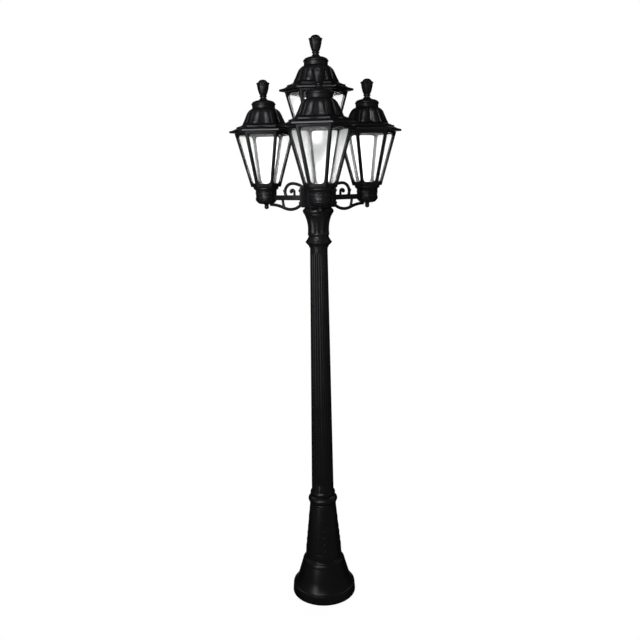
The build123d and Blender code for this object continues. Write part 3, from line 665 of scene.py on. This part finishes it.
def capital():
    """Bell with ten hollow flutes under a full round collar."""
    flute_foot, flute_top, flute_end = 1491.0, 1558.0, 9.0
    flute_count, flute_steps, flute_depth = 10, 24, 2.6
    land_share, first_flute = 0.3, radians(100)
    hollow = flutes(flute_count)
    foot = points((24.05, 1480), (38.6, 1480), (40.2, 1485.4), (41.6, 1487.4))
    bell = bulged((41.4, 1489), (52.0, 1561), -5.2, 24)
    round_collar = points((53.4, 1562.4)) + bulged((53.2, 1564), (51.0, 1586), 6.4, 10)
    round_collar += points((49.6, 1588), (24.05, 1588))
    depths = [0.0] * len(foot)
    for _, level in bell:
        inside = min((level - flute_foot) / flute_end, (flute_top - level) / flute_end, 1.0)
        depths.append(flute_depth * (1 - (1 - max(inside, 0.0)) ** 2) ** 0.5)
    depths += [0.0] * len(round_collar)
    mesh = turned(
        carved(foot + bell + round_collar, depths),
        post_place,
        flute_count * flute_steps,
        wave=lambda angle: max(0.0, (hollow(angle + first_flute) - land_share) / (1 - land_share)),
    )
    show(mesh, "capital_casting", "column_capital")


def hub_cap():
    """Domed cover of the hub with a small ledge."""
    outline = points((35.95, 1658), (39.95, 1658), (39.95, 1664), (52.0, 1664), (52.0, 1667.4))
    outline += points((50.4, 1668.6))
    outline += bulged((49.4, 1669), (24.6, 1681.4), 4.6)
    outline += points((24.0, 1682), (16.05, 1682), (16.05, 1668), (22.0, 1668), (22.0, 1671), (35.95, 1671))
    show(turned(eased(outline, 0.8), post_place), "hub_cover", "hub_cap")


def stem():
    """Tube between hub and top seat, with a flange and two rings."""
    outline = points((11.0, 1668), (16.0, 1668), (16.0, 1682), (22.0, 1682), (22.0, 1685.6), (20.0, 1687))
    outline += points((16.6, 1689), (16.0, 1694), (16.0, 1724))
    outline += arc((16.0, 1728), 2.2, -90, 90)
    outline += points((16.0, 1734), (16.0, 1749), (11.0, 1749))
    show(turned(eased(outline, 0.6), post_place), "stem_tube", "centre_stem")


def seat_mesh(bottom, inside):
    """Lantern seat: a gadrooned bowl under two beads, its rim at height 0."""
    lobe_count, lobe_depth, lobe_rows = 18, 2.0, 12
    bowl = bulged((bottom, -34.0), (39.6, -21.6), 5.4, lobe_rows)
    depths = [lobe_depth * sin(radians(180 * row / lobe_rows)) ** 0.6 for row in range(lobe_rows)] + [0.0]
    rim = bulged((40.2, -21.0), (40.2, -15.2), 2.0) + bulged((40.2, -14.6), (40.2, -9.2), 1.8)
    rim += points((39.6, -8.2), (39.6, -3.0), (40.4, -2.2), (40.4, 0.0))
    rim += points((34.0, 0.0), (34.0, -14.0), (6.55, -14.0)) + inside
    depths += [0.0] * len(rim)
    return turned(carved(bowl + rim, depths), steps=8 * lobe_count, wave=gadroons(lobe_count))


def top_seat():
    """Seat of the raised lantern, with a socket for the stem."""
    mesh = seat_mesh(22.0, points((6.55, -22.0), (16.05, -22.0), (16.05, -34.0)))
    mesh.transform(Matrix.Translation(lantern_seats["top"]) @ post_place)
    show(mesh, "top_seat_casting", "top_seat")


def scroll_arm(name):
    """Cast arm along +X: back plate, bar, scrollwork and lantern seat."""
    seat = lantern_seats[name]
    reach = seat.xy.length / MM
    edge_round = 2.4
    back_plate = rounded_box((56.5, -28, -44), (64.5, 28, 28), edge_round)
    bar = rounded_box((62.5, -7, -20), (reach - 34.5, 7, -1), edge_round)
    upper_scroll = rod(run((61.5, 27.0), 36.5, (81.5, -36.5), (32.5, -90), (26.0, -62)), 11.6, 12.0)
    inner_curl = rod(points((101.4, -8.0)) + run((101.4, 11.6), 90, (8.2, -170)), 8.6, 11.0)
    lower_scroll = rod(run((61.5, -23.0), -57, (70.0, 80), (161.7, -22.8)), 12.0, 12.0)
    tie = rod(run((154.5, -10.0), -90, (110.0, -20)), 10.0, 11.0)
    curl_eye = ball((114.8, 0, 12.6), (7.0, 6.6, 7.0))
    scroll_knop = ball((147.4, 0, 15.5), (4.2, 5.0, 4.2))
    seat_shape = seat_mesh(12.0, points((6.55, -34.0)))
    seat_shape.transform(Matrix.Translation((reach, 0, 0)))
    mesh = joined(
        back_plate, bar, upper_scroll, inner_curl, lower_scroll, tie, curl_eye, scroll_knop, seat_shape
    )
    turn = Matrix.Rotation(seat.xy.angle_signed(Vector((1, 0))), 4, "Z")
    mesh.transform(Matrix.Translation((0, 0, seat.z)) @ turn @ Matrix.Scale(MM, 4))
    show(mesh, f"{name}_scroll_arm", f"{name}_arm")


def drop_knob(name):
    """Ball-ended nut under an arm's seat."""
    outline = arc((0, -46.0), 9.0, -86, 32, 12)
    outline += points((7.8, -40.0), (8.6, -38.4), (9.5, -37.6), (9.5, -35.0), (8.8, -34.0))
    outline += points((6.55, -34.0), (6.55, -47.0))
    place = Matrix.Translation(lantern_seats[name]) @ post_place
    show(turned(outline, place, 48, closed_loop=False), f"{name}_knob", f"{name}_drop_knob")


def lantern_base(name):
    """Cup under a lantern: rings and a row of small bosses round its waist."""
    outline = points((6.8, -12), (33.9, -12), (33.9, 0), (40.4, 0), (40.4, 1.4), (39.4, 2.4), (39.4, 11.0))
    outline += arc((39.8, 12.8), 1.7, -90, 90)
    outline += bulged((40.2, 15.0), (47.4, 22.6), -1.4)
    outline += points((48.6, 23.4), (48.6, 26.2), (47.6, 27.2), (49.8, 31), (35.5, 31), (35.5, 4), (29.4, 0))
    outline += points((29.4, -8), (6.8, -8))
    boss_count = 18
    bosses = ring_of(ball((39.8, 0, 6.8), (1.7, 4.0, 4.0)), boss_count)
    mesh = joined(turned(eased(outline, 0.7)), bosses)
    mesh.transform(lantern_place(name))
    show(mesh, f"{name}_base_casting", f"{name}_lantern_base")


def cage(name):
    """Cage with its edges eased, and a thin bead round each pane on the inside."""
    foot, foot_apothem, slope = 31.0, 50.66, radians(13.73)
    inset, thickness, edge_round = 8.2, 1.2, 1.1
    outside = eased(points((-24.2, 1), (24.2, 1), (51.7, 202), (-51.7, 202)), 1.0, 6)
    window = eased(points((-21.6, 13), (21.6, 13), (47.0, 199), (-47.0, 199)), 13.0, 6)
    levels = ((outside, 0.0), (window, 0.0), (window, -thickness), (outside, -thickness))
    rings = [[Vector((*point, level)) for point in outline] for outline, level in levels]
    up_the_side = Matrix(((0, sin(slope), cos(slope)), (1, 0, 0), (0, cos(slope), -sin(slope)))).to_4x4()
    bead = skin(rings, Matrix.Translation((foot_apothem - inset, 0, foot)) @ up_the_side, closed_loop=True)
    beads = ring_of(bead, 6)
    beads.transform(lantern_place(name))
    show(joined(softened(f"{name}_cage", edge_round), beads), f"{name}_cage_casting", f"{name}_cage")


# Roof, in millimetres above the seat of its lantern; radii of hexagons are to the corners
roof_foot, bell_foot, bell_top = 235.0, 258.0, 324.0
skirt_foot, skirt_bore, skirt_radius = 227.0, 96.9, 100.3
brim_radius = 136.0
bell_shape = points(
    (101.5, bell_foot), (92.5, 262), (86.0, 268), (79.6, 279), (74.6, 289.5),
    (70.0, 300), (64.0, 311), (56.5, 319.2), (47.6, bell_top),
)
ridge_half_angle = 2.6
wedge_half_angle_low = 7.0
wedge_half_angle_high = 3.5
lobe_height = 4.6
ridge_height = 2.6
groove_depth = 3.4
ridge_steps, lobe_steps, wedge_steps = 4, 12, 4
# Shares of the bell's height: where petals start, how long they take to rise, and where they fade
petal_start, petal_run, fade_start = 0.1, 0.1, 0.72
seat_run = 0.15
petal_fade, groove_fade, top_roundness = 0.75, 0.6, 0.8


def petal_angles(rise):
    """Angles across one flat side of the bell, with each one's kind and place across its petal."""
    wedge = wedge_half_angle_low + (wedge_half_angle_high - wedge_half_angle_low) * rise
    middle = (wedge + 30 - ridge_half_angle) / 2
    half = (30 - ridge_half_angle - wedge) / 2
    ridge = [radians(90 * step / ridge_steps) for step in range(ridge_steps)]
    lobe = [radians(180 * step / lobe_steps) for step in range(lobe_steps)]
    columns = [(-30 + ridge_half_angle * sin(a), "ridge", sin(a)) for a in ridge]
    columns += [(-middle - half * cos(a), "lobe", -cos(a)) for a in lobe]
    groove = [2 * step / wedge_steps - 1 for step in range(wedge_steps)]
    columns += [(wedge * across, "wedge", across) for across in groove]
    columns += [(middle - half * cos(a), "lobe", -cos(a)) for a in lobe]
    columns += [(30 - ridge_half_angle * cos(a), "ridge", cos(a)) for a in ridge]
    return columns


def petal_rise(kind, across, rise):
    """How far a petal stands out of the bell, with a round lower end and a fading upper one."""
    if kind == "wedge":
        groove_end = smoothstep((rise - petal_start) / petal_run)
        return -groove_depth * (1 - abs(across)) * groove_end * (1 - groove_fade * rise)
    full = (1 - across * across) ** 0.5
    low_end = smoothstep((rise - petal_start - petal_run * (1 - full)) / petal_run)
    high_end = 1 - petal_fade * smoothstep((rise - fade_start) / (1 - fade_start))
    return (lobe_height if kind == "lobe" else ridge_height) * full * low_end * high_end


def roof_ring(radius, level, roundness, rise=None):
    """Level ring of the roof: a hexagon blended towards a circle, with petals where it is on the bell."""
    ring = []
    for side in range(6):
        for angle, kind, across in petal_angles(rise or 0.0):
            flat = cos(radians(30)) / cos(radians(angle))
            reach = radius * (flat * (1 - roundness) + roundness)
            if rise is not None:
                reach += petal_rise(kind, across, rise) - lobe_height * smoothstep(rise / seat_run)
            turn = radians(60 * side + angle)
            ring.append(Vector((reach * cos(turn), reach * sin(turn), level)))
    return ring


def roof(name):
    """Cast roof: a flared brim, a beaded step, a bell of raised petals and a boss, hollow below."""
    low = points((38.0, 318), (54.0, 310), (60.6, 300), (69.9, 279), (80.9, 262), (skirt_bore, roof_foot))
    low += points((skirt_bore, skirt_foot), (skirt_radius, skirt_foot), (skirt_radius, roof_foot))
    low += points((131.5, roof_foot), (135.2, 235.8), (brim_radius, 237.2), (135.8, 241.4))
    low += points((134.8, 243.0), (133.4, 243.6))
    low += spline(points((132.6, 243.8), (121.0, 246.2), (110.4, 251)), 5)
    low += points((109.4, 252.2), (107.0, 252.6), (106.8, 253.8))
    low += arc((105.4, 255.8), 2.0, -60, 90)
    low += points((103.0, 257.8))
    rings = [roof_ring(p[0], p[1], 0.0) for p in low]
    for point in spline(bell_shape, 5):
        rise = (point[1] - bell_foot) / (bell_top - bell_foot)
        rings.append(roof_ring(point[0], point[1], top_roundness * rise * rise, rise))
    boss = points((40.0, 324), (9.0, 324), (9.0, 345), (4.1, 345), (4.1, 329))
    rings += [roof_ring(p[0], p[1], 1.0) for p in boss]
    beads = []
    bead_reach, bead_level, bead_pitch, bead_lean = 94.0, 254.6, 5.2, 16
    set_back, set_down = 0.4, 0.5
    for step in range(-2, 3):
        spot = (bead_reach - set_back * abs(step), bead_pitch * step, bead_level - set_down * abs(step))
        beads.append(ball(spot, (2.6, 2.0, 4.2), -bead_lean * step))
    mesh = joined(skin(rings), ring_of(joined(*beads), 6))
    mesh.transform(lantern_place(name))
    show(mesh, f"{name}_roof_casting", f"{name}_roof", 28.0)


def roof_cap(name):
    """Round cap with a rolled lip under a low dome."""
    outline = points((40.7, 324), (43.7, 324), (43.7, 335.4), (44.4, 336.6))
    outline += arc((44.6, 339), 2.0, -80, 80)
    dome = points((45.0, 341.8), (40.0, 347.8), (30.4, 352), (20.0, 354.6), (15.8, 356.4), (14.6, 358))
    outline += spline(dome, 4)
    outline += points((4.1, 358), (4.1, 351), (12.7, 351), (31.0, 345), (40.7, 337))
    show(turned(eased(outline, 0.5), lantern_place(name)), f"{name}_cap_casting", f"{name}_roof_cap")


def finial(name):
    """Tulip on its stud: turned rings, a cup of six petals with blunt tips, and a bud."""
    foot, steps, petal_count = 358.0, 72, 6
    notch_depth, notch_drop, notch_sharpness = 2.6, 5.0, 1.6
    bud_groove = 0.07
    # Radius, height, and how much of the notches between petals and of the bud's grooves shows there
    stud = [(4.0, -26), (4.0, 0), (14.6, 0), (14.0, 1.4), (11.6, 3.4), (11.0, 5.4), (11.0, 7.4)]
    stud += [*arc((11.4, 10.6), 2.8, -70, 70, 6), (11.4, 13.8), (12.8, 15.4)]
    cup = [(14.8, 18.6, 0.05), (16.6, 23, 0.1), (18.2, 28, 0.2), (19.8, 34, 0.3), (21.2, 40, 0.42)]
    cup += [(22.2, 46, 0.6), (23.0, 52, 0.8), (24.2, 55.2, 1), (25.4, 57.2, 1), (25.4, 58.6, 1)]
    cup += [(24.4, 59.4, 1), (22.2, 60, 0.8), (20.2, 60.8, 0.4)]
    bud = [(18.6, 61.6), (17.8, 62.8), (16.6, 64.6), (14.8, 66.4), (12.6, 68.2), (8.8, 70), (4.0, 71)]
    rows = [(*row, 0, 0) for row in stud] + [(*row, 0) for row in cup] + [(*row, 0, 1) for row in bud]
    rings = []
    for radius, height, notched, grooved in rows:
        ring = []
        for step in range(steps):
            angle = radians(360 * step / steps)
            wave = abs(cos(petal_count / 2 * angle))
            notch = notched * wave**notch_sharpness
            reach = (radius - notch_depth * notch) * (1 - bud_groove * grooved * (1 - wave))
            level = foot + height - notch_drop * notched * notch
            ring.append(Vector((reach * cos(angle), reach * sin(angle), level)))
        rings.append(ring)
    show(skin(rings, lantern_place(name)), f"{name}_tulip_finial", f"{name}_finial")


for make in (plinth, collar, shaft, neck_ring, capital, hub_cap, stem, top_seat):
    make()
show(softened("bracket_hub", 1.8), "hub_casting", "bracket_hub")
# The front lantern stands before the stem, so all its far panes have the veil
nodes["front_diffuser"].pass_index = 1
for lantern in lantern_seats:
    lantern_base(lantern)
    cage(lantern)
    roof(lantern)
    roof_cap(lantern)
    finial(lantern)
    if lantern != "top":
        scroll_arm(lantern)
        drop_knob(lantern)


def background_rays(tree):
    """Rays that see the plain white background: to the eye, in gloss and through glass."""
    rays = add_node(tree, "ShaderNodeLightPath").outputs
    seen = rays["Is Camera Ray"]
    for kind in ("Is Glossy Ray", "Is Transmission Ray"):
        seen = add_math(tree, "MAXIMUM", seen, rays[kind])
    return seen


def white_studio():
    """World that is plain white where it is seen, and a soft fill elsewhere."""
    world = bpy.data.worlds.new("white_studio")
    bpy.context.scene.world = world
    world.use_nodes = True
    tree = world.node_tree
    tree.nodes.clear()
    fill_strength, white_strength = 0.5, 1.0
    paper = linear("#ffffff")
    fill = add_node(tree, "ShaderNodeBackground", inputs={"Color": paper, "Strength": fill_strength})
    white = add_node(tree, "ShaderNodeBackground", inputs={"Color": paper, "Strength": white_strength})
    whole = add_node(
        tree,
        "ShaderNodeMixShader",
        inputs={0: background_rays(tree), 1: fill.outputs[0], 2: white.outputs[0]},
    )
    add_node(tree, "ShaderNodeOutputWorld", inputs={"Surface": whole.outputs[0]})


def pale_floor():
    """Large white floor that keeps a faint shadow."""
    half = 30.0
    white_share, white_strength = 0.9, 1.06
    corners = [(-half, -half, 0), (half, -half, 0), (half, half, 0), (-half, half, 0)]
    mesh = bpy.data.meshes.new("floor")
    mesh.from_pydata(corners, [], [(0, 1, 2, 3)])
    floor = bpy.data.objects.new("floor", mesh)
    bpy.context.scene.collection.objects.link(floor)
    material, tree = new_material("white_studio_floor")
    share = add_math(tree, "MULTIPLY", background_rays(tree), white_share)
    paint = add_node(tree, "ShaderNodeBsdfDiffuse", inputs={"Color": linear("#f4f4f4")})
    white = add_node(
        tree, "ShaderNodeEmission", inputs={"Color": linear("#ffffff"), "Strength": white_strength}
    )
    whole = add_node(
        tree,
        "ShaderNodeMixShader",
        inputs={0: share, 1: paint.outputs[0], 2: white.outputs[0]},
    )
    add_node(tree, "ShaderNodeOutputMaterial", inputs={"Surface": whole.outputs[0]})
    mesh.materials.append(material)


def softbox(name, azimuth, distance, height, size, power, aim_height, spread=180, for_gloss=False):
    """Area lamp at an azimuth from the front, in degrees to the left, aimed at the column."""
    light = bpy.data.lights.new(name, "AREA")
    light.shape = "RECTANGLE"
    light.size, light.size_y = size
    light.energy = power
    light.spread = radians(spread)
    lamp = bpy.data.objects.new(name, light)
    bpy.context.scene.collection.objects.link(lamp)
    angle = radians(azimuth)
    lamp.location = (-distance * sin(angle), -distance * cos(angle), height)
    aim = Vector((0, 0, aim_height)) - lamp.location
    lamp.rotation_euler = aim.to_track_quat("-Z", "Y").to_euler()
    lamp.visible_camera = False
    lamp.visible_diffuse = not for_gloss


def photograph_camera():
    """Camera at the photograph's viewpoint."""
    camera = bpy.data.objects.new("camera", bpy.data.cameras.new("camera"))
    bpy.context.scene.collection.objects.link(camera)
    camera.data.lens = camera_lens
    camera.data.sensor_width = camera_sensor
    level = Matrix.Rotation(-camera_side_angle, 4, "Z") @ Matrix.Rotation(radians(90) - camera_pitch, 4, "X")
    rolled = level @ Matrix.Rotation(camera_roll, 4, "Z")
    place = Vector(
        (-camera_distance * sin(camera_side_angle), -camera_distance * cos(camera_side_angle), camera_height)
    )
    camera.matrix_world = Matrix.Translation(place) @ rolled
    bpy.context.scene.camera = camera


white_studio()
pale_floor()
softbox("key_softbox", 26, 2.2, 2.1, (0.9, 1.2), power=10, aim_height=1.85, spread=70)
softbox("sheen_softbox", 20, 2.3, 2.9, (1.4, 2.0), power=100, aim_height=1.9, spread=60, for_gloss=True)
softbox("strip_softbox", 38, 2.3, 1.5, (0.4, 2.2), power=165, aim_height=1.5, for_gloss=True)
softbox("back_softbox", 190, 3.0, 2.2, (1.6, 2.0), power=12, aim_height=1.2)
softbox("left_sheen_softbox", 120, 2.3, 2.9, (1.4, 2.0), power=100, aim_height=1.5, for_gloss=True)
softbox("right_sheen_softbox", 240, 2.3, 2.9, (1.4, 2.0), power=100, aim_height=1.5, for_gloss=True)
photograph_camera()
bpy.context.scene.view_settings.view_transform = "Standard"
